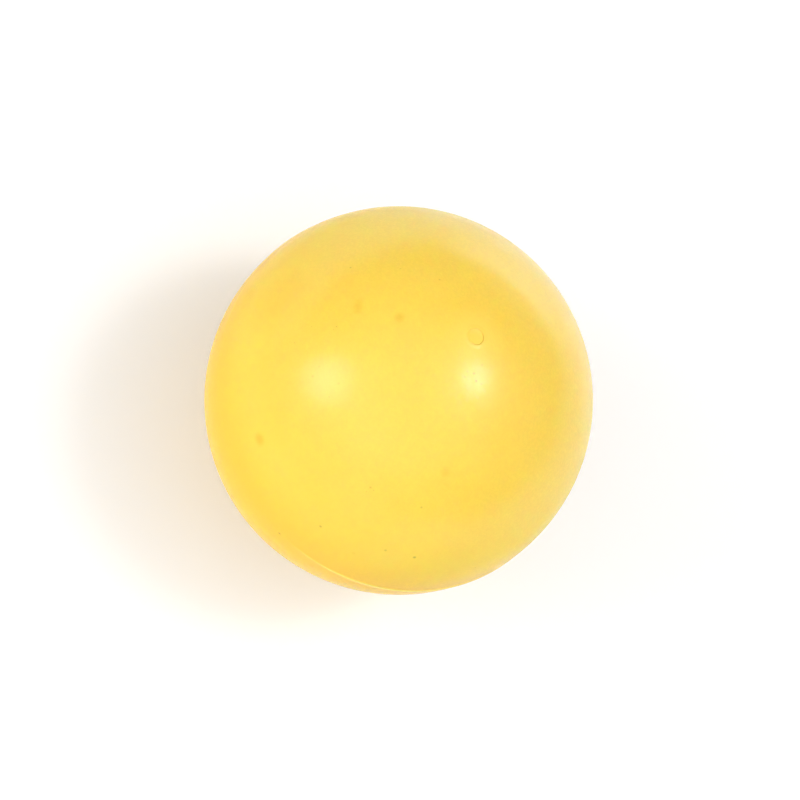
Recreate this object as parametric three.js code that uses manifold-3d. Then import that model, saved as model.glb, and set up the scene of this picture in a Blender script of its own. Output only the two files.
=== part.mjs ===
// A hollow rubber ball: two moulded half-shells bonded rim to rim, the ring of bonding rubber in
// their joint, and the mushroom plug that closes the inflation hole near one pole.
//
// Millimetres. The origin is the ball's centre, the bonded joint lies in the XY plane, and +Z points
// to the pole of the half-shell that carries the plug. The plug stands a few degrees off that pole,
// towards +X.

import * as THREE from 'three';
import { mergeVertices } from 'three/addons/utils/BufferGeometryUtils.js';
import Module from 'manifold-3d';

// Ball
const BALL_DIAMETER = 65;
const WALL_THICKNESS = 5;

// Bonded joint between the two rims
const BOND_THICKNESS = 0.4;
const RIM_BEVEL = 0.25; // outer corner of each rim, filled by squeezed-out bonding rubber
const OUTER_BEAD_HEIGHT = 0.15; // the trimmed bead, above the ball's surface
const INNER_BEAD_HEIGHT = 0.4; // the untrimmed bead, inside the air space

// Inflation plug
const PLUG_OFF_POLE = THREE.MathUtils.degToRad(5.5);
const STEM_DIAMETER = 2.5;
const STEM_RECESS = 0.12; // the stem's end lies this far below the ball's surface
const STEM_EDGE_RADIUS = 0.2;
const STEM_DISH = 0.1; // hollow of the stem's end
const STEM_ROOT_FILLET = 0.25;
const HEAD_DIAMETER = 7;
const HEAD_THICKNESS = 2.2; // at the head's edge
const HEAD_CROWN = 0.5; // swell of the head's inner face

// Seat of the plug in its half-shell
const PLUG_CLEARANCE = 0.3;
const SHOULDER_DEPTH = 3.5; // from the ball's surface to the shoulder that stops the head
const LIP_WIDTH = 0.5; // raised lip round the hole's mouth
const LIP_HEIGHT = 0.12;
const LIP_ROOT = 0.1; // how far the lip's foot starts below the ball's surface
const PAD_HEIGHT = 1.5; // thickening of the wall's inner side round the hole
const PAD_MARGIN = 3; // width of the pad outside the hole for the head
const PAD_EDGE_RADIUS = 0.6;

// Facets
const SHELL_SEGMENTS = 64;
const SHELL_ARC_STEPS = 16; // from pole to rim
const CAVITY_ARC_STEPS = 10;
const BEAD_ARC_STEPS = 4;
const PLUG_SEGMENTS = 32;
const PLUG_ARC_STEPS = 4;
const WELD_DISTANCE = 1e-4;
const CUT_OVERSHOOT = 1; // how far a cutting form runs past the faces it cuts

const QUARTER_TURN = Math.PI / 2;

// Sizes that follow from those above
const ballRadius = BALL_DIAMETER / 2;
const cavityRadius = ballRadius - WALL_THICKNESS;
const wallMiddleRadius = ballRadius - WALL_THICKNESS / 2;
const rimHeight = BOND_THICKNESS / 2;
const bevelHeight = rimHeight + RIM_BEVEL;
const bevelRadius = heightOnSphere(ballRadius, bevelHeight);
const rimOuterRadius = bevelRadius - RIM_BEVEL;
const rimInnerRadius = heightOnSphere(cavityRadius, rimHeight);

const stemRadius = STEM_DIAMETER / 2;
const headRadius = HEAD_DIAMETER / 2;
const stemHoleRadius = stemRadius + PLUG_CLEARANCE;
const headHoleRadius = headRadius + PLUG_CLEARANCE;
const shoulderHeight = ballRadius - SHOULDER_DEPTH;
const padRadius = headHoleRadius + PAD_MARGIN;
const padFaceHeight = cavityRadius - PAD_HEIGHT;

// Height of a sphere's surface at a distance from its axis, or that distance at a height.
function heightOnSphere(radius, distance) {
  return Math.sqrt(radius ** 2 - distance ** 2);
}

function point(radius, height) {
  return new THREE.Vector2(radius, height);
}

// Points along an arc of a circle, or of an ellipse where two radii are given.
function arc(centreX, centreY, [radiusX, radiusY = radiusX], startAngle, endAngle, steps) {
  const clockwise = endAngle < startAngle;
  const curve = new THREE.EllipseCurve(centreX, centreY, radiusX, radiusY, startAngle, endAngle, clockwise);
  return curve.getPoints(steps);
}

// A bead's rounded face: an arc from one corner (base, -halfWidth) over the tip (tip, 0) to the other
// corner (base, halfWidth).
function beadFace(base, tip, halfWidth) {
  const rise = Math.abs(tip - base);
  const radius = (halfWidth ** 2 + rise ** 2) / (2 * rise);
  const halfAngle = 2 * Math.atan(rise / halfWidth);
  const outward = Math.sign(tip - base);
  const tipAngle = outward > 0 ? 0 : Math.PI;
  const centre = tip - outward * radius;
  return arc(centre, 0, [radius], tipAngle - halfAngle, tipAngle + halfAngle, BEAD_ARC_STEPS);
}

// Turns a profile of (radius, height) points about +Z. Profiles run anticlockwise, up their outer side.
function turned(profile, segments) {
  return new THREE.LatheGeometry(profile, segments).rotateX(QUARTER_TURN);
}

// Profile of the plain half-shell, from its outer pole round the rim to the pole of the cavity.
function halfShellProfile() {
  const bevelAngle = Math.asin(bevelHeight / ballRadius);
  const rimAngle = Math.asin(rimHeight / cavityRadius);
  return [
    ...arc(0, 0, [ballRadius], -QUARTER_TURN, -bevelAngle, SHELL_ARC_STEPS),
    point(rimOuterRadius, -rimHeight),
    ...arc(0, 0, [cavityRadius], -rimAngle, -QUARTER_TURN, CAVITY_ARC_STEPS),
  ];
}

function plainHalfShell() {
  return turned(halfShellProfile(), SHELL_SEGMENTS);
}

// Ring between the rims: flat where the rims lie on it, with a bead outside and a bead inside.
function seamBond() {
  const outerFace = beadFace(bevelRadius, ballRadius + OUTER_BEAD_HEIGHT, bevelHeight);
  const innerFace = beadFace(rimInnerRadius, rimInnerRadius - INNER_BEAD_HEIGHT, rimHeight);
  const profile = [
    point(rimOuterRadius, -rimHeight),
    ...outerFace,
    point(rimOuterRadius, rimHeight),
    ...innerFace,
    point(rimOuterRadius, -rimHeight),
  ];
  return turned(profile, SHELL_SEGMENTS);
}

// Forms about the plug's own axis, before it is tilted off the pole

// Low pad that thickens the wall on the inside. Its top lies in the middle of the wall.
function padForm() {
  const edgeCentre = padRadius - PAD_EDGE_RADIUS;
  const topAngle = Math.acos(padRadius / wallMiddleRadius);
  const profile = [
    point(0, padFaceHeight),
    ...arc(edgeCentre, padFaceHeight + PAD_EDGE_RADIUS, [PAD_EDGE_RADIUS], -QUARTER_TURN, 0, PLUG_ARC_STEPS),
    ...arc(0, 0, [wallMiddleRadius], topAngle, QUARTER_TURN, PLUG_ARC_STEPS),
  ];
  return turned(profile, PLUG_SEGMENTS);
}

// Low swelling of the outer surface. The hole leaves its edge standing as the raised lip.
function lipForm() {
  const footHeight = heightOnSphere(ballRadius, stemHoleRadius) - LIP_ROOT;
  const lipRise = LIP_ROOT + LIP_HEIGHT;
  const profile = [
    point(0, wallMiddleRadius),
    point(stemHoleRadius + LIP_WIDTH, wallMiddleRadius),
    ...arc(stemHoleRadius, footHeight, [LIP_WIDTH, lipRise], 0, QUARTER_TURN, PLUG_ARC_STEPS),
    point(0, footHeight + lipRise),
  ];
  return turned(profile, PLUG_SEGMENTS);
}

// Stepped hole: wide from the inside for the plug's head, narrow through the outer wall for its stem.
function holeForm() {
  const bottom = padFaceHeight - CUT_OVERSHOOT;
  const top = ballRadius + LIP_HEIGHT + CUT_OVERSHOOT;
  const profile = [
    point(0, bottom),
    point(headHoleRadius, bottom),
    point(headHoleRadius, shoulderHeight),
    point(stemHoleRadius, shoulderHeight),
    point(stemHoleRadius, top),
    point(0, top),
  ];
  return turned(profile, PLUG_SEGMENTS);
}

// Mushroom plug: crowned head inside, stem through the wall, and a rounded, dished end.
function inflationPlug() {
  const headTop = shoulderHeight - PLUG_CLEARANCE;
  const headEdge = headTop - HEAD_THICKNESS;
  const stemEnd = ballRadius - STEM_RECESS;
  const rootRadius = stemRadius + STEM_ROOT_FILLET;
  const rootHeight = headTop + STEM_ROOT_FILLET;
  const endRadius = stemRadius - STEM_EDGE_RADIUS;
  const endHeight = stemEnd - STEM_EDGE_RADIUS;
  const crown = [headRadius, HEAD_CROWN];
  const dish = [endRadius, STEM_DISH];
  const profile = [
    ...arc(0, headEdge, crown, -QUARTER_TURN, 0, PLUG_ARC_STEPS),
    point(headRadius, headTop),
    ...arc(rootRadius, rootHeight, [STEM_ROOT_FILLET], 3 * QUARTER_TURN, 2 * QUARTER_TURN, PLUG_ARC_STEPS),
    ...arc(endRadius, endHeight, [STEM_EDGE_RADIUS], 0, QUARTER_TURN, PLUG_ARC_STEPS),
    ...arc(0, stemEnd, dish, 0, -QUARTER_TURN, PLUG_ARC_STEPS),
  ];
  return turned(profile, PLUG_SEGMENTS);
}

// Joining and cutting

const wasm = await Module();
wasm.setup();

// A closed solid from a geometry: shared vertices are merged, and the triangles that shrink to
// nothing on the turning axis are left out.
function solid(geometry) {
  geometry.deleteAttribute('normal');
  geometry.deleteAttribute('uv');
  const welded = mergeVertices(geometry, WELD_DISTANCE);
  const corners = welded.index.array;
  const triVerts = [];
  for (let i = 0; i < corners.length; i += 3) {
    const [a, b, c] = corners.slice(i, i + 3);
    if (a !== b && b !== c && c !== a) {
      triVerts.push(a, b, c);
    }
  }
  const vertProperties = welded.getAttribute('position').array;
  return new wasm.Manifold(new wasm.Mesh({
    numProp: 3,
    vertProperties,
    triVerts: Uint32Array.from(triVerts),
  }));
}

function geometryOf(manifold) {
  const { vertProperties, triVerts } = manifold.getMesh();
  const geometry = new THREE.BufferGeometry();
  geometry.setAttribute('position', new THREE.BufferAttribute(vertProperties, 3));
  geometry.setIndex(new THREE.BufferAttribute(triVerts, 1));
  geometry.computeVertexNormals();
  return geometry;
}

function tilted(geometry) {
  return geometry.rotateY(PLUG_OFF_POLE);
}

// The plain half-shell turned over, thickened by the pad and the lip, and pierced for the plug.
function plugHalfShell() {
  const shell = solid(plainHalfShell().rotateX(2 * QUARTER_TURN));
  const pad = solid(tilted(padForm()));
  const lip = solid(tilted(lipForm()));
  const hole = solid(tilted(holeForm()));
  return geometryOf(shell.add(pad).add(lip).subtract(hole));
}

// Materials and the assembly

function rubber(color, roughness) {
  return new THREE.MeshStandardMaterial({ color, roughness, metalness: 0 });
}

function piece(name, geometry, material) {
  const mesh = new THREE.Mesh(geometry, material);
  mesh.name = name;
  return mesh;
}

const shellRubber = rubber(0xf9dc5f, 0.4);
const bondRubber = rubber(0xfbe478, 0.35);
const plugRubber = rubber(0xf3d05c, 0.45);

const plugAxis = new THREE.Group();
plugAxis.rotation.y = PLUG_OFF_POLE;
plugAxis.add(piece('inflation_plug', inflationPlug(), plugRubber));

const ball = new THREE.Group();
ball.add(
  piece('plug_half_shell', plugHalfShell(), shellRubber),
  piece('plain_half_shell', plainHalfShell(), shellRubber),
  piece('seam_bond', seamBond(), bondRubber),
  plugAxis,
);

export default ball;
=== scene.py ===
# Looks of a hollow yellow rubber ball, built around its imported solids.
#
# Metres, in the solids' own frame: the origin is the ball's centre, the bonded seam lies in the XY plane,
# and +Z points to the pole of the half-shell that holds the inflation plug.

import math

import bpy
import numpy as np
from mathutils import Matrix, Vector, noise


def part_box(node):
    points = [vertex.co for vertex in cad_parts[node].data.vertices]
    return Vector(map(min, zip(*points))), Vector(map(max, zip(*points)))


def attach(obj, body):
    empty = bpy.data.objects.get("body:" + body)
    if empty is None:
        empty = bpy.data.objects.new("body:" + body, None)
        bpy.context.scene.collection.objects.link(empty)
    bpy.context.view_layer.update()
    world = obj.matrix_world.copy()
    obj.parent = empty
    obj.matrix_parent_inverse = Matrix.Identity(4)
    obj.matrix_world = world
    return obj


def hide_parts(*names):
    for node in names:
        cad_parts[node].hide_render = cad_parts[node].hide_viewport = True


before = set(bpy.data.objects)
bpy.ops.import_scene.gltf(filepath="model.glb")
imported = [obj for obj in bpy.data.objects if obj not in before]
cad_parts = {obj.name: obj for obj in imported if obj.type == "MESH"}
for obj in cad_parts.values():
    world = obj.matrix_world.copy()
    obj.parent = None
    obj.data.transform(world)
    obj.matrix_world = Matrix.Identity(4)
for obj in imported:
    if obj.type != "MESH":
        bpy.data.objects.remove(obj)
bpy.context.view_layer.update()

MM = 0.001

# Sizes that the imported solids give
PLAIN_LOW, PLAIN_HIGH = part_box("plain_half_shell")
_, BOND_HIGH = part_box("seam_bond")
BALL_RADIUS = -PLAIN_LOW.z
RIM_HEIGHT = -PLAIN_HIGH.z
BEAD_HALF_WIDTH = BOND_HIGH.z
BEAD_HEIGHT = BOND_HIGH.x - BALL_RADIUS

# Sizes inside the solids, which their boxes don't show
CAVITY_RADIUS = BALL_RADIUS - 5 * MM
RIM_BEVEL = BEAD_HALF_WIDTH - RIM_HEIGHT
INNER_BEAD_HEIGHT = 0.4 * MM
PLUG_OFF_POLE = math.radians(5.5)
SHOULDER_HEIGHT = BALL_RADIUS - 3.5 * MM
PAD_FACE_HEIGHT = CAVITY_RADIUS - 1.5 * MM
PAD_RADIUS = 6.8 * MM
PAD_EDGE_RADIUS = 0.6 * MM
HEAD_HOLE_RADIUS = 3.8 * MM
HEAD_RADIUS = 3.5 * MM
HEAD_TOP = SHOULDER_HEIGHT - 0.3 * MM
HEAD_EDGE = HEAD_TOP - 2.2 * MM
HEAD_CROWN = 0.5 * MM

# The stem and the mouth of its hole as they look, which is a closer fit than in the solids
STEM_HOLE_RADIUS = 1.43 * MM
STEM_RADIUS = 1.398 * MM
STEM_RISE = 0.025 * MM
STEM_EDGE_RADIUS = 0.08 * MM
STEM_DISH = 0.06 * MM
STEM_ROOT_FILLET = 0.15 * MM
LIP_WIDTH = 0.7 * MM
LIP_HEIGHT = 0.045 * MM
MOUTH_RADIUS = 0.07 * MM

# Camera: its bearing from +X, height above the seam's plane, roll and distance, and the ball in its frame
CAMERA_BEARING = math.radians(121.7)
CAMERA_ELEVATION = math.radians(63.2)
CAMERA_ROLL = math.radians(59.7)
CAMERA_DISTANCE = 30 * BALL_RADIUS
IMAGE_SIZE = 800
BALL_CENTRE_PIXEL = (398.13, 399.98)
BALL_RADIUS_PIXELS = 194.53
SENSOR_WIDTH = 36.0
CLIP_START = 0.05
CLIP_END = 20

FULL_TURN = 2 * math.pi
UP = Vector((0, 0, 1))


# Camera frame

def camera_axes():
    """The camera's right, up and towards-the-camera directions, as the columns of a matrix."""
    level = math.cos(CAMERA_ELEVATION)
    toward = Vector((
        level * math.cos(CAMERA_BEARING),
        level * math.sin(CAMERA_BEARING),
        math.sin(CAMERA_ELEVATION),
    ))
    level_right = UP.cross(toward).normalized()
    level_up = toward.cross(level_right)
    cos_roll = math.cos(CAMERA_ROLL)
    sin_roll = math.sin(CAMERA_ROLL)
    right = cos_roll * level_right + sin_roll * level_up
    up = cos_roll * level_up - sin_roll * level_right
    return Matrix((right, up, toward)).transposed()


VIEW = camera_axes()
EYE = VIEW @ Vector((0, 0, CAMERA_DISTANCE))
LIMB_TANGENT = BALL_RADIUS / math.sqrt(CAMERA_DISTANCE ** 2 - BALL_RADIUS ** 2)
FOCAL_PIXELS = BALL_RADIUS_PIXELS / LIMB_TANGENT


def ball_point(pixel):
    """The point of the ball's surface that the camera sees at a pixel."""
    across = (pixel[0] - BALL_CENTRE_PIXEL[0]) / FOCAL_PIXELS
    down = (pixel[1] - BALL_CENTRE_PIXEL[1]) / FOCAL_PIXELS
    ray = (VIEW @ Vector((across, -down, -1))).normalized()
    along = -EYE.dot(ray)
    nearest_squared = EYE.length_squared - along ** 2
    return EYE + ray * (along - math.sqrt(BALL_RADIUS ** 2 - nearest_squared))


def make_camera():
    data = bpy.data.cameras.new("camera")
    data.sensor_width = SENSOR_WIDTH
    data.lens = FOCAL_PIXELS * SENSOR_WIDTH / IMAGE_SIZE
    middle = (IMAGE_SIZE - 1) / 2
    data.shift_x = (middle - BALL_CENTRE_PIXEL[0]) / IMAGE_SIZE
    data.shift_y = (BALL_CENTRE_PIXEL[1] - middle) / IMAGE_SIZE
    data.clip_start = CLIP_START
    data.clip_end = CLIP_END
    camera = bpy.data.objects.new("camera", data)
    camera.matrix_world = Matrix.LocRotScale(EYE, VIEW.to_quaternion(), None)
    bpy.context.scene.collection.objects.link(camera)
    bpy.context.scene.camera = camera


# Meshes: a loft joins rows of points that run once round an axis

SHARP_ANGLE = math.radians(32)


def pole_faces(count, columns):
    """Fans of triangles from an open loft's end rows to its two poles, which come after all its rows."""
    here = np.arange(columns)
    after = np.roll(here, -1)
    last = (count - 1) * columns
    start = count * columns
    end = start + 1
    faces = [(start, int(b), int(a)) for a, b in zip(here, after)]
    faces += [(end, int(last + a), int(last + b)) for a, b in zip(here, after)]
    return faces


def band_faces(row, count, columns):
    """Four-sided faces from a row to the next one. The row after the last is the first."""
    here = np.arange(columns)
    after = np.roll(here, -1)
    low = row * columns
    high = (row + 1) % count * columns
    return np.stack([low + here, low + after, high + after, high + here], axis=1).tolist()


def loft(name, rows, closed):
    """A smooth closed mesh through rows of points, an array of (row, column, xyz). A closed loft's last row
    joins its first; an open one shrinks to a pole at each end."""
    count, columns, _ = rows.shape
    if closed:
        points = rows.reshape(-1, 3)
        faces = []
        bands = count
    else:
        poles = np.array([rows[0, 0], rows[-1, 0]])
        points = np.concatenate([rows[1:-1].reshape(-1, 3), poles])
        count -= 2
        faces = pole_faces(count, columns)
        bands = count - 1
    for row in range(bands):
        faces += band_faces(row, count, columns)
    mesh = bpy.data.meshes.new(name)
    mesh.from_pydata(points.tolist(), [], faces)
    mesh.validate()
    mesh.shade_smooth()
    mesh.set_sharp_from_angle(angle=SHARP_ANGLE)
    piece = bpy.data.objects.new(name, mesh)
    bpy.context.scene.collection.objects.link(piece)
    return piece


def arc(centre, radii, start, end, steps):
    """Points (radius, height) along an arc of an ellipse, angles in degrees."""
    angles = np.radians(np.linspace(start, end, steps + 1))
    return np.stack([centre[0] + radii[0] * np.cos(angles), centre[1] + radii[1] * np.sin(angles)], axis=1)


def line(start, end, steps):
    """Points along a straight line, without its end."""
    shares = np.linspace(0, 1, steps, endpoint=False)[:, None]
    return np.array(start) * (1 - shares) + np.array(end) * shares


def turned(profile, bearings):
    """Rows from a profile of (radius, height) points turned about +Z."""
    profile = np.asarray(profile)
    round_axis = np.stack([np.cos(bearings), np.sin(bearings)], axis=1)
    flat = profile[:, None, :1] * round_axis[None]
    heights = np.broadcast_to(profile[:, None, 1:], (len(profile), len(bearings), 1))
    return np.concatenate([flat, heights], axis=2)


def bearings_round(columns):
    return np.linspace(0, FULL_TURN, columns, endpoint=False)


def smooth_share(value, low, high):
    """0 below low and 1 above high, with a smooth step between them."""
    share = np.clip((value - low) / (high - low), 0, 1)
    return share * share * (3 - 2 * share)


PLUG_TILT = np.array(Matrix.Rotation(PLUG_OFF_POLE, 3, "Y"))


# Moulded skin: the small unevenness of the outer surface, always inwards

WAVE_DEPTH = 0.03 * MM
WAVE_LENGTH = 14 * MM
PEEL_DEPTH = 0.006 * MM
PEEL_LENGTH = 2.4 * MM
# Distances over which the unevenness comes in, away from the bead and from the lip
SKIN_FADE = 1.5 * MM
LIP_FADE = 6 * MM


def noise_share(place):
    """Noise of 0 to 1 at a place, with features about 1 apart."""
    return 0.5 + 0.5 * noise.noise(place)


def skin_depth(point):
    wave = noise_share(Vector(point) / WAVE_LENGTH)
    peel = noise_share(Vector(point) / PEEL_LENGTH)
    return WAVE_DEPTH * wave + PEEL_DEPTH * peel


def moulded(rows, fades):
    """Presses the rows of an outer surface in by the skin's depth, times a fade of 0 to 1 per point."""
    flat = rows.reshape(-1, 3)
    depths = np.array([skin_depth(p) for p in flat]) * fades.reshape(-1)
    radii = np.linalg.norm(flat, axis=1)
    return (flat * (1 - depths / radii)[:, None]).reshape(rows.shape)


# Plain half-shell

SHELL_COLUMNS = 384
SHELL_ROWS = 100
CAVITY_ROWS = 36


def plain_half_shell():
    bearings = bearings_round(SHELL_COLUMNS)
    bevel_angle = math.degrees(math.asin(BEAD_HALF_WIDTH / BALL_RADIUS))
    rim_angle = math.degrees(math.asin(RIM_HEIGHT / CAVITY_RADIUS))
    outer = arc((0, 0), (BALL_RADIUS, BALL_RADIUS), -90, -bevel_angle, SHELL_ROWS)
    bevel_radius = outer[-1, 0]
    inner = arc((0, 0), (CAVITY_RADIUS, CAVITY_RADIUS), -rim_angle, -90, CAVITY_ROWS)
    outer[0, 0] = 0
    inner[-1, 0] = 0
    outer_rows = turned(outer, bearings)
    fades = smooth_share(-outer_rows[..., 2], BEAD_HALF_WIDTH, BEAD_HALF_WIDTH + SKIN_FADE)
    rim = [(bevel_radius - RIM_BEVEL, -RIM_HEIGHT)]
    rows = [moulded(outer_rows, fades), turned(rim, bearings), turned(inner, bearings)]
    return loft("plain_half_shell_skin", np.concatenate(rows), closed=False)


# Half-shell with the plug hole, lofted about the plug's own axis from the hole out to the seam

LIP_ROWS = 24
LIP_START = STEM_HOLE_RADIUS + MOUTH_RADIUS
LIP_END = LIP_START + LIP_WIDTH
# How much the skin's rows spread out from the lip to the seam
SKIN_GROWTH = 1.7
PAD_EDGE_STEPS = 6
HEAD_HOLE_STEPS = 4
STEM_HOLE_STEPS = 8
MOUTH_STEPS = 8


def polar_angle_at(height, radius, bearings):
    """The angle off the plug's axis at which a sphere meets a height in the ball's frame."""
    cos_tilt = math.cos(PLUG_OFF_POLE)
    lean = math.sin(PLUG_OFF_POLE) * np.cos(bearings)
    reach = np.sqrt(cos_tilt ** 2 + lean ** 2)
    return np.arccos(height / (radius * reach)) - np.arctan2(lean, cos_tilt)


def sphere_rows(radii, polar, bearings):
    """Rows about the plug's tilted axis. polar is (row, column) and radii has one value for each row."""
    flat = np.sin(polar)
    unit = np.stack([flat * np.cos(bearings), flat * np.sin(bearings), np.cos(polar)], axis=2)
    return (unit * radii[:, None, None]) @ PLUG_TILT.T


def lip_rise(distance):
    """Height of the raised lip at a distance from the plug's axis."""
    share = np.clip((distance - STEM_HOLE_RADIUS - MOUTH_RADIUS) / LIP_WIDTH, 0, 1)
    return LIP_HEIGHT * (1 - smooth_share(share, 0, 1))


def outer_rows_with_lip(bearings):
    """The raised lip round the hole, then the moulded skin out to the seam."""
    lip_distance = np.linspace(LIP_START, LIP_END, LIP_ROWS)
    lip_polar = np.repeat((lip_distance / BALL_RADIUS)[:, None], SHELL_COLUMNS, axis=1)
    lip = sphere_rows(BALL_RADIUS + lip_rise(lip_distance), lip_polar, bearings)
    seam_polar = polar_angle_at(BEAD_HALF_WIDTH, BALL_RADIUS, bearings)
    shares = np.linspace(0, 1, SHELL_ROWS + 1)[1:, None] ** SKIN_GROWTH
    skin_polar = lip_polar[-1] * (1 - shares) + seam_polar * shares
    skin = sphere_rows(np.full(SHELL_ROWS, BALL_RADIUS), skin_polar, bearings)
    from_seam = smooth_share(skin[..., 2], BEAD_HALF_WIDTH, BEAD_HALF_WIDTH + SKIN_FADE)
    from_lip = smooth_share(skin_polar * BALL_RADIUS, LIP_END, LIP_END + LIP_FADE)
    return np.concatenate([lip, moulded(skin, from_seam * from_lip)])


def rim_row(seam):
    """The inner edge of the rim's bevel, from the last row of the outer surface."""
    seam_radius = np.linalg.norm(seam[:, :2], axis=1, keepdims=True)
    flat = seam[:, :2] * (1 - RIM_BEVEL / seam_radius)
    return np.concatenate([flat, np.full((SHELL_COLUMNS, 1), RIM_HEIGHT)], axis=1)[None]


def cavity_rows(bearings):
    """The inner surface from the rim to the pad."""
    pad_polar = math.asin(PAD_RADIUS / CAVITY_RADIUS)
    rim_polar = polar_angle_at(RIM_HEIGHT, CAVITY_RADIUS, bearings)
    shares = np.linspace(0, 1, CAVITY_ROWS + 1)[:, None]
    polar = rim_polar * (1 - shares) + pad_polar * shares
    return sphere_rows(np.full(CAVITY_ROWS + 1, CAVITY_RADIUS), polar, bearings)


def hole_rows(bearings):
    """The pad's edge and face, the stepped hole and its rounded mouth, which meets the lip."""
    mouth_height = math.sqrt(BALL_RADIUS ** 2 - STEM_HOLE_RADIUS ** 2) + LIP_HEIGHT - MOUTH_RADIUS
    edge_centre = (PAD_RADIUS - PAD_EDGE_RADIUS, PAD_FACE_HEIGHT + PAD_EDGE_RADIUS)
    mouth_centre = (LIP_START, mouth_height)
    face_corner = (HEAD_HOLE_RADIUS, PAD_FACE_HEIGHT)
    head_corner = (HEAD_HOLE_RADIUS, SHOULDER_HEIGHT)
    stem_corner = (STEM_HOLE_RADIUS, SHOULDER_HEIGHT)
    profile = np.concatenate([
        arc(edge_centre, (PAD_EDGE_RADIUS, PAD_EDGE_RADIUS), 0, -90, PAD_EDGE_STEPS),
        line(face_corner, head_corner, HEAD_HOLE_STEPS),
        line(head_corner, stem_corner, HEAD_HOLE_STEPS),
        line(stem_corner, (STEM_HOLE_RADIUS, mouth_height), STEM_HOLE_STEPS),
        arc(mouth_centre, (MOUTH_RADIUS, MOUTH_RADIUS), 180, 90, MOUTH_STEPS)[:-1],
    ])
    return turned(profile, bearings) @ PLUG_TILT.T


def plug_half_shell():
    bearings = bearings_round(SHELL_COLUMNS)
    outer = outer_rows_with_lip(bearings)
    rows = np.concatenate([outer, rim_row(outer[-1]), cavity_rows(bearings), hole_rows(bearings)])
    return loft("plug_half_shell_skin", rows[::-1], closed=True)


# Ring of bonding rubber. Its outer bead was trimmed by hand, so its height changes round the ball.

BOND_COLUMNS = 720
BEAD_STEPS = 14
# Bearing in degrees, and the share of the bead's full height left there
BEAD_TRIM = (
    (-60, 0.7), (0, 0.55), (42, 0.4), (62, 0.3), (80, 0.08), (134, 0.06),
    (150, 0.35), (163, 0.75), (177, 0.95), (187, 1.0), (200, 1.0), (250, 0.8),
)
# How far the full bead is smeared over the plug half, and how far its edges sink into the shells
BEAD_SMEAR = 0.5 * MM
BEAD_SINK = 0.004 * MM
# The most that ripples take off the bead's share, and about how many go round the ball
BEAD_RIPPLE = 0.12
BEAD_RIPPLES = 90
# Keeps a span of no width from dividing by 0
TINY = 1e-9


def bead_shares(bearings):
    """How much of the full bead height is left at each bearing."""
    trim = np.array([*BEAD_TRIM, (BEAD_TRIM[0][0] + 360, BEAD_TRIM[0][1])])
    degrees = (np.degrees(bearings) - trim[0, 0]) % 360 + trim[0, 0]
    spans = np.searchsorted(trim[:, 0], degrees, side="right") - 1
    low, high = trim[spans], trim[np.minimum(spans + 1, len(trim) - 1)]
    blend = smooth_share(degrees, low[:, 0], high[:, 0] + TINY)
    shares = low[:, 1] * (1 - blend) + high[:, 1] * blend
    ripple = np.array([
        noise_share(Vector((math.cos(b), math.sin(b), 0)) * BEAD_RIPPLES / FULL_TURN) for b in bearings
    ])
    return np.clip(shares - BEAD_RIPPLE * ripple, 0.0, 1)


def outer_bead(bearings):
    """Rows over the bead from the plain half to the plug half, where it is smeared wider."""
    shares = bead_shares(bearings)
    angles = np.radians(np.linspace(-90, 90, BEAD_STEPS + 1))
    across = np.sin(angles)[:, None]
    bulge = np.cos(angles)[:, None] ** 2
    half_widths = np.where(across > 0, BEAD_HALF_WIDTH + BEAD_SMEAR * shares, BEAD_HALF_WIDTH)
    heights = half_widths * across
    rise = bulge * BEAD_HEIGHT * shares
    radii = np.sqrt(BALL_RADIUS ** 2 - heights ** 2) + rise - (1 - bulge) * BEAD_SINK
    return np.stack([radii * np.cos(bearings), radii * np.sin(bearings), heights], axis=2)


def seam_bond():
    bearings = bearings_round(BOND_COLUMNS)
    rim_outer = math.sqrt(BALL_RADIUS ** 2 - BEAD_HALF_WIDTH ** 2) - RIM_BEVEL
    rim_inner = math.sqrt(CAVITY_RADIUS ** 2 - RIM_HEIGHT ** 2)
    inner = arc((rim_inner, 0), (INNER_BEAD_HEIGHT, RIM_HEIGHT), 90, 270, BEAD_STEPS)
    low_rim = turned([(rim_outer, -RIM_HEIGHT)], bearings)
    high_rim = turned([(rim_outer, RIM_HEIGHT)], bearings)
    rows = [turned(inner, bearings), low_rim, outer_bead(bearings), high_rim]
    return loft("seam_bond_ring", np.concatenate(rows), closed=True)


# Inflation plug: crowned head, stem and a dished end that was cut off by hand, so it leans and slants a bit

PLUG_COLUMNS = 128
CROWN_STEPS = 16
HEAD_SIDE_STEPS = 4
HEAD_TOP_STEPS = 5
ROOT_STEPS = 6
STEM_SIDE_STEPS = 8
STEM_EDGE_STEPS = 10
DISH_STEPS = 16
STEM_LEAN = 0.03 * MM
STEM_SLANT = 0.03 * MM
STEM_LEAN_BEARING = math.radians(80)
# Depths below the stem's end between which the slant grows to its full size
SLANT_START = 1 * MM
SLANT_FULL = 0.2 * MM


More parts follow.
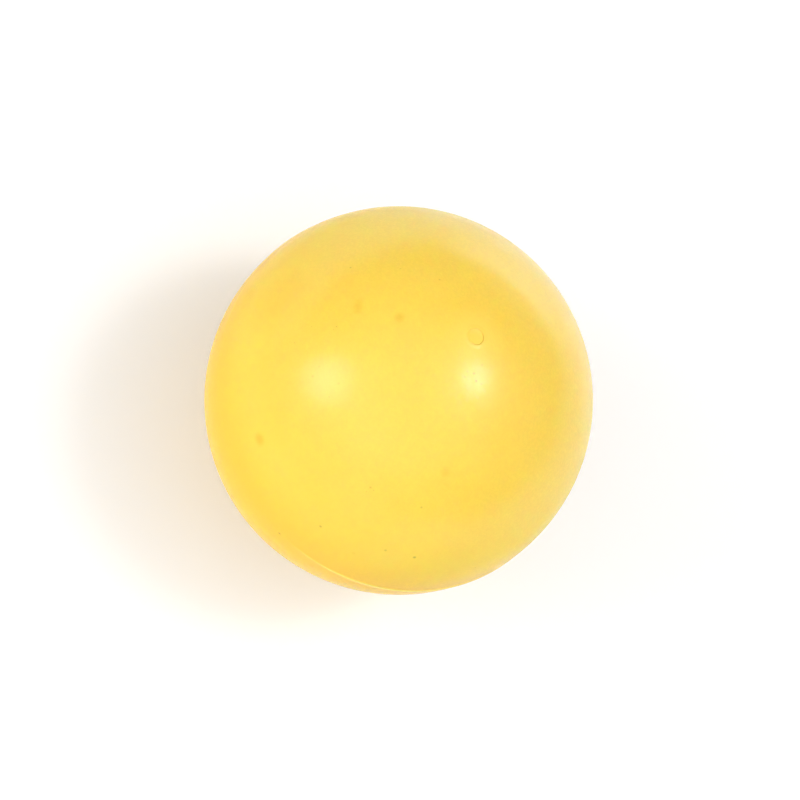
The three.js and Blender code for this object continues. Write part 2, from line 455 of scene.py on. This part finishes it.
def plug_profile(stem_end):
    root = (STEM_RADIUS + STEM_ROOT_FILLET, HEAD_TOP + STEM_ROOT_FILLET)
    edge = (STEM_RADIUS - STEM_EDGE_RADIUS, stem_end - STEM_EDGE_RADIUS)
    profile = np.concatenate([
        arc((0, HEAD_EDGE), (HEAD_RADIUS, HEAD_CROWN), -90, 0, CROWN_STEPS),
        line((HEAD_RADIUS, HEAD_EDGE), (HEAD_RADIUS, HEAD_TOP), HEAD_SIDE_STEPS)[1:],
        line((HEAD_RADIUS, HEAD_TOP), (root[0], HEAD_TOP), HEAD_TOP_STEPS),
        arc(root, (STEM_ROOT_FILLET, STEM_ROOT_FILLET), 270, 180, ROOT_STEPS),
        line((STEM_RADIUS, root[1]), (STEM_RADIUS, edge[1]), STEM_SIDE_STEPS)[1:],
        arc(edge, (STEM_EDGE_RADIUS, STEM_EDGE_RADIUS), 0, 90, STEM_EDGE_STEPS),
        arc((0, stem_end), (edge[0], STEM_DISH), 0, -90, DISH_STEPS)[1:],
    ])
    profile[0, 0] = 0
    profile[-1, 0] = 0
    return profile


def inflation_plug():
    stem_end = BALL_RADIUS + STEM_RISE
    rows = turned(plug_profile(stem_end), bearings_round(PLUG_COLUMNS))
    lean = smooth_share(rows[..., 2:], HEAD_TOP, stem_end) * STEM_LEAN
    lean_axis = np.array((math.cos(STEM_LEAN_BEARING), math.sin(STEM_LEAN_BEARING)))
    slant = rows[..., :2] @ lean_axis / STEM_RADIUS * STEM_SLANT
    rows[..., 2] += slant * smooth_share(rows[..., 2], stem_end - SLANT_START, stem_end - SLANT_FULL)
    rows[..., :2] += lean * lean_axis
    return loft("inflation_plug_body", rows @ PLUG_TILT.T, closed=False)


# Materials

RUBBER_YELLOW = (0.965, 0.655, 0.1)
RUBBER_HONEY = (0.945, 0.615, 0.086)
PLUG_YELLOW = (0.962, 0.668, 0.098)
PLUG_HONEY = (0.945, 0.64, 0.088)
# Painted shade: the amber of the shells and the bond beside the seam
SEAM_SHADE_AMBER = (0.93, 0.57, 0.062)
# Painted highlight: the paler yellow along the bond's crest
CREST_HIGHLIGHT_YELLOW = (0.97, 0.755, 0.08)
# Colour of the soft spots, and of the painted shade at the upper left
SPOT_AND_SHADE_AMBER = (0.74, 0.46, 0.05)
# Colour of the specks, and of the dots of painted shade in the highlights
SPECK_AND_SHADE_BROWN = (0.42, 0.27, 0.04)

# Clouds of honey in the yellow: size, the noise levels between which they come in, and their full share
CLOUD_DETAIL = 3.0
SHELL_CLOUD_SIZE = 17 * MM
SHELL_CLOUD_LEVELS = (0.35, 0.75)
SHELL_CLOUD_SHARE = 0.45
PLUG_CLOUD_SIZE = 2.5 * MM
PLUG_CLOUD_LEVELS = (0.35, 0.7)

# Painted shade: the shells are a deeper amber near the seam, reaching over most of the plain half: heights
# over the seam's plane between which that fades, on each half
SEAM_SHADE_ABOVE = (0, 12 * MM)
SEAM_SHADE_BELOW = (-30 * MM, -14 * MM)
# The bond's colour is the full painted highlight yellow of its crest at this height over the ball
CREST_RISE = 0.08 * MM

# Soft spots in the rubber, two of which are wide painted shade, and sharp specks on it, with dots of
# painted shade in the highlights:
# pixel of the photograph, radius and strength. Each one is full out to a share of its radius, its core.
SPOT_CORE = 0.1
SOFT_SPOTS_AND_SHADE = (
    ((259, 439), 1.5 * MM, 0.6), ((358, 302), 1.1 * MM, 0.28), ((357.5, 306), 1.3 * MM, 0.36),
    # On the next line, the wide spots at (279, 293) and (284, 254) are painted shade that darkens the upper
    # left of the ball towards its edge
    ((357, 310), 1.1 * MM, 0.28), ((279, 293), 9 * MM, 0.2), ((284, 254), 17 * MM, 0.11),
    ((399, 317), 1.25 * MM, 0.45), ((445, 472), 1.2 * MM, 0.25), ((353, 553), 0.6 * MM, 0.25),
)
SPECK_AND_DOT_CORE = 0.3
SPECKS_AND_SHADE_DOTS = (
    ((279, 533), 0.38 * MM, 0.65), ((320, 526), 0.34 * MM, 0.5), ((414, 557), 0.38 * MM, 0.6),
    ((385, 550), 0.34 * MM, 0.35), ((421, 507), 0.28 * MM, 0.35), ((370, 487), 0.3 * MM, 0.35),
    ((373, 490), 0.18 * MM, 0.3), ((366, 491), 0.16 * MM, 0.25), ((336, 326), 0.2 * MM, 0.4),
    ((333, 329), 0.16 * MM, 0.3), ((350, 267), 0.24 * MM, 0.4), ((400, 268), 0.2 * MM, 0.25),
    ((439, 279), 0.24 * MM, 0.3), ((294, 342), 0.18 * MM, 0.25), ((311, 326), 0.18 * MM, 0.25),
    ((253, 517), 0.2 * MM, 0.3), ((224, 470), 0.2 * MM, 0.3), ((475, 567), 0.18 * MM, 0.3),
    # Dots of painted shade in the right highlight, where its reflection breaks up
    ((473.4, 373), 0.28 * MM, 0.5), ((475.8, 380.4), 0.28 * MM, 0.5), ((464.4, 376.4), 0.3 * MM, 0.28),
    ((481.5, 364.5), 0.28 * MM, 0.26), ((480.8, 383.6), 0.24 * MM, 0.3), ((467, 371), 0.24 * MM, 0.24),
    # Dots of painted shade in the left highlight, where its reflection breaks up
    ((312, 375.8), 0.3 * MM, 0.22), ((318.6, 366), 0.26 * MM, 0.16), ((338, 383), 0.3 * MM, 0.2),
    ((328.6, 396.4), 0.26 * MM, 0.16),
)

# Gloss: dull beside the seam, and rising to full between two distances from its plane
RUBBER_IOR = 1.37
FULL_GLOSS = 0.62
SEAM_GLOSS = 0.08
SEAM_MATT_REACH = (12 * MM, 22 * MM)
# Mottle and dull dots of the gloss: size, noise levels, and what the gloss is multiplied by at each
MOTTLE_SIZE = 0.45 * MM
MOTTLE_LEVELS = (0.38, 0.62)
MOTTLE_GLOSS = (0.65, 1.35)
DOT_SIZE = 0.5 * MM
DOT_LEVELS = (0.64, 0.72)
DOT_GLOSS = (1.0, 0.4)
# Roughness, and how much it changes either way from patch to patch
SHELL_ROUGHNESS = 0.235
PLUG_ROUGHNESS = 0.24
PATCH_SIZE = 1.1 * MM
PATCH_LEVELS = (0.3, 0.7)
PATCH_CHANGE = 0.015
# Grain: bumps, pits as deep as the bumps are high, and that height for each rubber
BUMP_SIZE = 0.55 * MM
PIT_SIZE = 0.42 * MM
PIT_LEVELS = (0.6, 0.72)
PIT_DEPTH = 1.0
SHELL_GRAIN = 0.004 * MM
FINE_GRAIN = 0.002 * MM

# Spread of light in the rubber, and where it comes in beside the seam and the plug
SCATTER_RADIUS = (1.0, 0.6, 0.15)
SCATTER_SCALE = 1.5 * MM
SEAM_SCATTER_REACH = (1 * MM, 6 * MM)
PLUG_SCATTER_RADIUS = 6 * MM
PLUG_SCATTER_CORE = 0.35

# A Mix node's sockets for colours
MIX_INPUTS = (6, 7)
MIX_RESULT = 2


class Nodes:
    """A material's node tree, with short ways to add and join nodes."""

    def __init__(self, name):
        self.material = bpy.data.materials.new(name)
        self.material.use_nodes = True
        self.tree = self.material.node_tree
        self.shader = next(n for n in self.tree.nodes if n.type == "BSDF_PRINCIPLED")
        self.place = self.add("ShaderNodeTexCoord").outputs["Object"]

    def add(self, kind, **settings):
        node = self.tree.nodes.new(kind)
        for key, value in settings.items():
            setattr(node, key, value)
        return node

    def join(self, source, socket):
        self.tree.links.new(source, socket)

    def noise(self, length, detail=2.0):
        """Noise of about that feature size."""
        node = self.add("ShaderNodeTexNoise")
        node.inputs["Scale"].default_value = 1 / length
        node.inputs["Detail"].default_value = detail
        self.join(self.place, node.inputs["Vector"])
        return node.outputs["Fac"]

    def ramp(self, value, low, high, to_low=0.0, to_high=1.0):
        """A smooth step between two numbers while the value goes from low to high."""
        node = self.add("ShaderNodeMapRange", interpolation_type="SMOOTHSTEP")
        for key, number in zip(("From Min", "From Max", "To Min", "To Max"), (low, high, to_low, to_high)):
            node.inputs[key].default_value = number
        self.join(value, node.inputs["Value"])
        return node.outputs["Result"]

    def math(self, operation, first, second):
        node = self.add("ShaderNodeMath", operation=operation)
        for socket, value in zip(node.inputs, (first, second)):
            if isinstance(value, (int, float)):
                socket.default_value = value
            else:
                self.join(value, socket)
        return node.outputs["Value"]

    def mix(self, share, base, colour):
        """The base colour, or the output of a node that makes it, blended towards another colour."""
        node = self.add("ShaderNodeMix", data_type="RGBA")
        self.join(share, node.inputs["Factor"])
        for index, value in zip(MIX_INPUTS, (base, colour)):
            if isinstance(value, tuple):
                node.inputs[index].default_value = (*value, 1)
            else:
                self.join(value, node.inputs[index])
        return node.outputs[MIX_RESULT]

    def spot(self, centre, radius, core, strength=1.0):
        """Full near a point of the surface, falling from core times a radius to 0 at the radius."""
        node = self.add("ShaderNodeVectorMath", operation="DISTANCE")
        self.join(self.place, node.inputs[0])
        node.inputs[1].default_value = centre
        return self.ramp(node.outputs["Value"], core * radius, radius, strength, 0.0)

    def height(self):
        """Height over the seam's plane, below 0 on the plain half."""
        split = self.add("ShaderNodeSeparateXYZ")
        self.join(self.place, split.inputs[0])
        return split.outputs["Z"]

    def off_seam(self):
        """Distance from the seam's plane, on either side of it."""
        return self.math("ABSOLUTE", self.height(), 0.0)

    def off_axis(self):
        """Distance from the axis through both poles."""
        flat = self.add("ShaderNodeVectorMath", operation="MULTIPLY")
        flat.inputs[1].default_value = (1, 1, 0)
        self.join(self.place, flat.inputs[0])
        length = self.add("ShaderNodeVectorMath", operation="LENGTH")
        self.join(flat.outputs["Vector"], length.inputs[0])
        return length.outputs["Value"]

    def most(self, values):
        """The largest of some values."""
        result = values[0]
        for value in values[1:]:
            result = self.math("MAXIMUM", result, value)
        return result

    def marks(self, entries, core):
        """The strongest of some marks, each given as a pixel, a radius and a strength."""
        return self.most([
            self.spot(ball_point(pixel), radius, core, strength) for pixel, radius, strength in entries
        ])


def finish_rubber(nodes, roughness, grain_depth, gloss):
    """Mottled gloss, uneven roughness and a fine grain."""
    shader = nodes.shader
    mottle = nodes.ramp(nodes.noise(MOTTLE_SIZE, detail=1.0), *MOTTLE_LEVELS, *MOTTLE_GLOSS)
    dots = nodes.ramp(nodes.noise(DOT_SIZE, detail=0.0), *DOT_LEVELS, *DOT_GLOSS)
    uneven_gloss = nodes.math("MULTIPLY", gloss, nodes.math("MULTIPLY", mottle, dots))
    nodes.join(uneven_gloss, shader.inputs["Specular IOR Level"])
    shader.inputs["IOR"].default_value = RUBBER_IOR
    ends = (roughness - PATCH_CHANGE, roughness + PATCH_CHANGE)
    nodes.join(nodes.ramp(nodes.noise(PATCH_SIZE), *PATCH_LEVELS, *ends), shader.inputs["Roughness"])
    grain = nodes.add("ShaderNodeBump")
    grain.inputs["Distance"].default_value = grain_depth
    grain.inputs["Strength"].default_value = 1.0
    pits = nodes.ramp(nodes.noise(PIT_SIZE, detail=0.0), *PIT_LEVELS, 0.0, -PIT_DEPTH)
    bumps = nodes.noise(BUMP_SIZE)
    nodes.join(nodes.math("ADD", bumps, pits), grain.inputs["Height"])
    nodes.join(grain.outputs["Normal"], shader.inputs["Normal"])


def translucent(nodes):
    """Light that spreads in the rubber, except beside the seam and the plug, where it would leak out."""
    from_seam = nodes.ramp(nodes.off_seam(), *SEAM_SCATTER_REACH)
    plug_end = Vector(PLUG_TILT @ np.array((0, 0, BALL_RADIUS)))
    near_plug = nodes.spot(plug_end, PLUG_SCATTER_RADIUS, PLUG_SCATTER_CORE)
    weight = nodes.math("SUBTRACT", from_seam, near_plug)
    nodes.join(nodes.math("MAXIMUM", weight, 0.0), nodes.shader.inputs["Subsurface Weight"])
    nodes.shader.inputs["Subsurface Radius"].default_value = SCATTER_RADIUS
    nodes.shader.inputs["Subsurface Scale"].default_value = SCATTER_SCALE


def shell_rubber():
    nodes = Nodes("shell_rubber")
    clouds = nodes.noise(SHELL_CLOUD_SIZE, detail=CLOUD_DETAIL)
    cloud = nodes.ramp(clouds, *SHELL_CLOUD_LEVELS, 0.0, SHELL_CLOUD_SHARE)
    colour = nodes.mix(cloud, RUBBER_YELLOW, RUBBER_HONEY)
    # Painted shade: a deeper amber towards the seam
    above = nodes.ramp(nodes.height(), *SEAM_SHADE_ABOVE, 1.0, 0.0)
    below = nodes.ramp(nodes.height(), *SEAM_SHADE_BELOW)
    colour = nodes.mix(nodes.math("MULTIPLY", above, below), colour, SEAM_SHADE_AMBER)
    # Soft spots, and painted shade at the upper left
    colour = nodes.mix(nodes.marks(SOFT_SPOTS_AND_SHADE, SPOT_CORE), colour, SPOT_AND_SHADE_AMBER)
    # Specks, and dots of painted shade in the highlights
    colour = nodes.mix(nodes.marks(SPECKS_AND_SHADE_DOTS, SPECK_AND_DOT_CORE), colour, SPECK_AND_SHADE_BROWN)
    nodes.join(colour, nodes.shader.inputs["Base Color"])
    gloss = nodes.ramp(nodes.off_seam(), *SEAM_MATT_REACH, SEAM_GLOSS, FULL_GLOSS)
    finish_rubber(nodes, SHELL_ROUGHNESS, SHELL_GRAIN, gloss)
    translucent(nodes)
    return nodes.material


def bond_rubber():
    """Painted shade of the same amber as the shells beside it, and a painted highlight of paler yellow
    along the crest that was left standing.
    """
    nodes = Nodes("bond_rubber")
    crest = nodes.ramp(nodes.off_axis(), BALL_RADIUS, BALL_RADIUS + CREST_RISE)
    # Painted highlight along the crest, over painted shade of amber
    colour = nodes.mix(crest, SEAM_SHADE_AMBER, CREST_HIGHLIGHT_YELLOW)
    # Specks, and dots of painted shade in the highlights
    colour = nodes.mix(nodes.marks(SPECKS_AND_SHADE_DOTS, SPECK_AND_DOT_CORE), colour, SPECK_AND_SHADE_BROWN)
    nodes.join(colour, nodes.shader.inputs["Base Color"])
    gloss = nodes.ramp(crest, 0.0, 1.0, SEAM_GLOSS, FULL_GLOSS)
    finish_rubber(nodes, SHELL_ROUGHNESS, FINE_GRAIN, gloss)
    return nodes.material


def plug_rubber():
    nodes = Nodes("plug_rubber")
    cloud = nodes.ramp(nodes.noise(PLUG_CLOUD_SIZE, detail=CLOUD_DETAIL), *PLUG_CLOUD_LEVELS)
    nodes.join(nodes.mix(cloud, PLUG_YELLOW, PLUG_HONEY), nodes.shader.inputs["Base Color"])
    finish_rubber(nodes, PLUG_ROUGHNESS, FINE_GRAIN, FULL_GLOSS)
    return nodes.material


# Stage and light. Directions in the camera's frame are right, up and towards the camera.

FLOOR_HALF = 6.0
FLOOR_WHITE = (0.95, 0.95, 0.95, 1)
FLOOR_GLOW = 0.22
SKY_BASE = 0.03
HORIZON_GLOW = 0.4
HORIZON_TOP = math.sin(math.radians(7))
HORIZON_FULL = math.sin(math.radians(4))
FRONT_LIGHT = (0.1, -0.03, 0.99)
RIGHT_LIGHT = (0.718, 0.2, 0.666)
RIGHT_FILL = (0.9, -0.1, 0.4)
# The left light is a pair of glows side by side, with a wide dim one between them
LEFT_LIGHT = (-0.677, 0.181, 0.714)
LEFT_LIGHT_INNER = (-0.609, 0.187, 0.771)
LEFT_LIGHT_OUTER = (-0.755, 0.187, 0.627)
LOW_LEFT_FILL = (-0.62, -0.53, 0.55)
# Soft glows of the sky: direction, angle at which each ends, angle at which it is full, level
SKY_GLOWS = (
    (FRONT_LIGHT, 60, 18, 1.21),
    (RIGHT_FILL, 45, 8, 0.54),
    (LOW_LEFT_FILL, 45, 8, 0.56),
    (LEFT_LIGHT_INNER, 16.5, 6, 3.5),
    (LEFT_LIGHT_OUTER, 16.5, 6, 3.5),
    (LEFT_LIGHT, 32, 8, 0.33),
    (RIGHT_LIGHT, 10, 3, 14.0),
    (RIGHT_LIGHT, 29, 6, 1.12),
)
# Softboxes: name, direction, distance, width, height, radiance
LAMPS = (
    ("back_softbox", (0.61, 0.68, -0.4), 0.45, 0.38, 0.12, 1.75),
    ("side_softbox", (0.72, 0.62, -0.15), 0.45, 0.4, 0.12, 0.45),
)
# Lamp that brightens the floor which the ball's upper right edge mirrors
FLOOR_LAMP_PLACE = (0.16, -0.16)
FLOOR_LAMP_HEIGHT = 0.14
FLOOR_LAMP_SIZE = 0.2
FLOOR_LAMP_SPREAD = math.radians(90)
FLOOR_LAMP_WATTS = 0.066


def floor_material():
    """White. Part of it glows for camera, mirror and transmission rays only, so that it is white in the
    picture and in reflections without more light on the ball."""
    nodes = Nodes("floor")
    nodes.shader.inputs["Base Color"].default_value = FLOOR_WHITE
    nodes.shader.inputs["Roughness"].default_value = 1.0
    nodes.shader.inputs["Specular IOR Level"].default_value = 0.0
    rays = nodes.add("ShaderNodeLightPath")
    seen = nodes.most([rays.outputs[f"Is {kind} Ray"] for kind in ("Camera", "Glossy", "Transmission")])
    glow = nodes.add("ShaderNodeEmission")
    blend = nodes.add("ShaderNodeMixShader")
    nodes.join(nodes.math("MULTIPLY", seen, FLOOR_GLOW), blend.inputs["Fac"])
    nodes.join(nodes.shader.outputs["BSDF"], blend.inputs[1])
    nodes.join(glow.outputs["Emission"], blend.inputs[2])
    output = next(n for n in nodes.tree.nodes if n.type == "OUTPUT_MATERIAL")
    nodes.join(blend.outputs["Shader"], output.inputs["Surface"])
    return nodes.material


def make_floor():
    """A pale floor that keeps the ball's shadow."""
    mesh = bpy.data.meshes.new("floor")
    z = PLAIN_LOW.z
    corners = [(-FLOOR_HALF, -FLOOR_HALF, z), (FLOOR_HALF, -FLOOR_HALF, z),
               (FLOOR_HALF, FLOOR_HALF, z), (-FLOOR_HALF, FLOOR_HALF, z)]
    mesh.from_pydata(corners, [], [(0, 1, 2, 3)])
    floor = bpy.data.objects.new("floor", mesh)
    bpy.context.scene.collection.objects.link(floor)
    mesh.materials.append(floor_material())


def sky_fade(tree, value, low, high, level):
    """A level that comes in smoothly while the value goes from low to high."""
    node = tree.nodes.new("ShaderNodeMapRange")
    node.interpolation_type = "SMOOTHSTEP"
    node.inputs["From Min"].default_value = low
    node.inputs["From Max"].default_value = high
    node.inputs["To Max"].default_value = level
    tree.links.new(value, node.inputs["Value"])
    return node.outputs["Result"]


def sky_glow(tree, direction, view_direction, end, full, level):
    """A round glow about a direction in the camera's frame."""
    toward = tree.nodes.new("ShaderNodeVectorMath")
    toward.operation = "DOT_PRODUCT"
    toward.inputs[1].default_value = VIEW @ Vector(view_direction).normalized()
    tree.links.new(direction, toward.inputs[0])
    ends = [math.cos(math.radians(angle)) for angle in (end, full)]
    return sky_fade(tree, toward.outputs["Value"], *ends, level)


def sky_sum(tree, glows):
    """The sky's base level with all glows added."""
    total = None
    for glow in glows:
        add = tree.nodes.new("ShaderNodeMath")
        if total is None:
            add.inputs[0].default_value = SKY_BASE
        else:
            tree.links.new(total, add.inputs[0])
        tree.links.new(glow, add.inputs[1])
        total = add.outputs[0]
    return total


def make_sky():
    """A soft studio dome: dim, with a few broad glows, and pale at the horizon."""
    world = bpy.data.worlds.new("studio")
    world.use_nodes = True
    bpy.context.scene.world = world
    tree = world.node_tree
    background = next(n for n in tree.nodes if n.type == "BACKGROUND")
    direction = tree.nodes.new("ShaderNodeTexCoord").outputs["Generated"]
    split = tree.nodes.new("ShaderNodeSeparateXYZ")
    tree.links.new(direction, split.inputs[0])
    glows = [sky_fade(tree, split.outputs["Z"], HORIZON_TOP, HORIZON_FULL, HORIZON_GLOW)]
    glows += [sky_glow(tree, direction, *glow) for glow in SKY_GLOWS]
    tree.links.new(sky_sum(tree, glows), background.inputs["Color"])


def make_lamp(name, view_direction, distance, width, height, radiance):
    """A softbox that faces the ball and isn't seen itself."""
    data = bpy.data.lights.new(name, "AREA")
    data.shape = "ELLIPSE"
    data.size = width
    data.size_y = height
    data.energy = radiance * math.pi * math.pi * width * height / 4
    lamp = bpy.data.objects.new(name, data)
    direction = VIEW @ Vector(view_direction).normalized()
    lamp.matrix_world = Matrix.LocRotScale(direction * distance, direction.to_track_quat("Z", "Y"), None)
    lamp.visible_camera = False
    bpy.context.scene.collection.objects.link(lamp)


def make_floor_lamp():
    """A lamp over the floor behind the ball. It points down, so little of its light reaches the ball."""
    data = bpy.data.lights.new("floor_lamp", "AREA")
    data.shape = "DISK"
    data.size = FLOOR_LAMP_SIZE
    data.spread = FLOOR_LAMP_SPREAD
    data.energy = FLOOR_LAMP_WATTS
    lamp = bpy.data.objects.new("floor_lamp", data)
    lamp.location = (*FLOOR_LAMP_PLACE, PLAIN_LOW.z + FLOOR_LAMP_HEIGHT)
    lamp.visible_camera = False
    bpy.context.scene.collection.objects.link(lamp)


# The ball

def dress(piece, node, material):
    piece.data.materials.append(material)
    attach(piece, "root")
    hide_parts(node)


make_camera()
shell = shell_rubber()
dress(plug_half_shell(), "plug_half_shell", shell)
dress(plain_half_shell(), "plain_half_shell", shell)
dress(seam_bond(), "seam_bond", bond_rubber())
dress(inflation_plug(), "inflation_plug", plug_rubber())

make_floor()
make_sky()
for lamp in LAMPS:
    make_lamp(*lamp)
make_floor_lamp()
bpy.context.scene.view_settings.view_transform = "Standard"
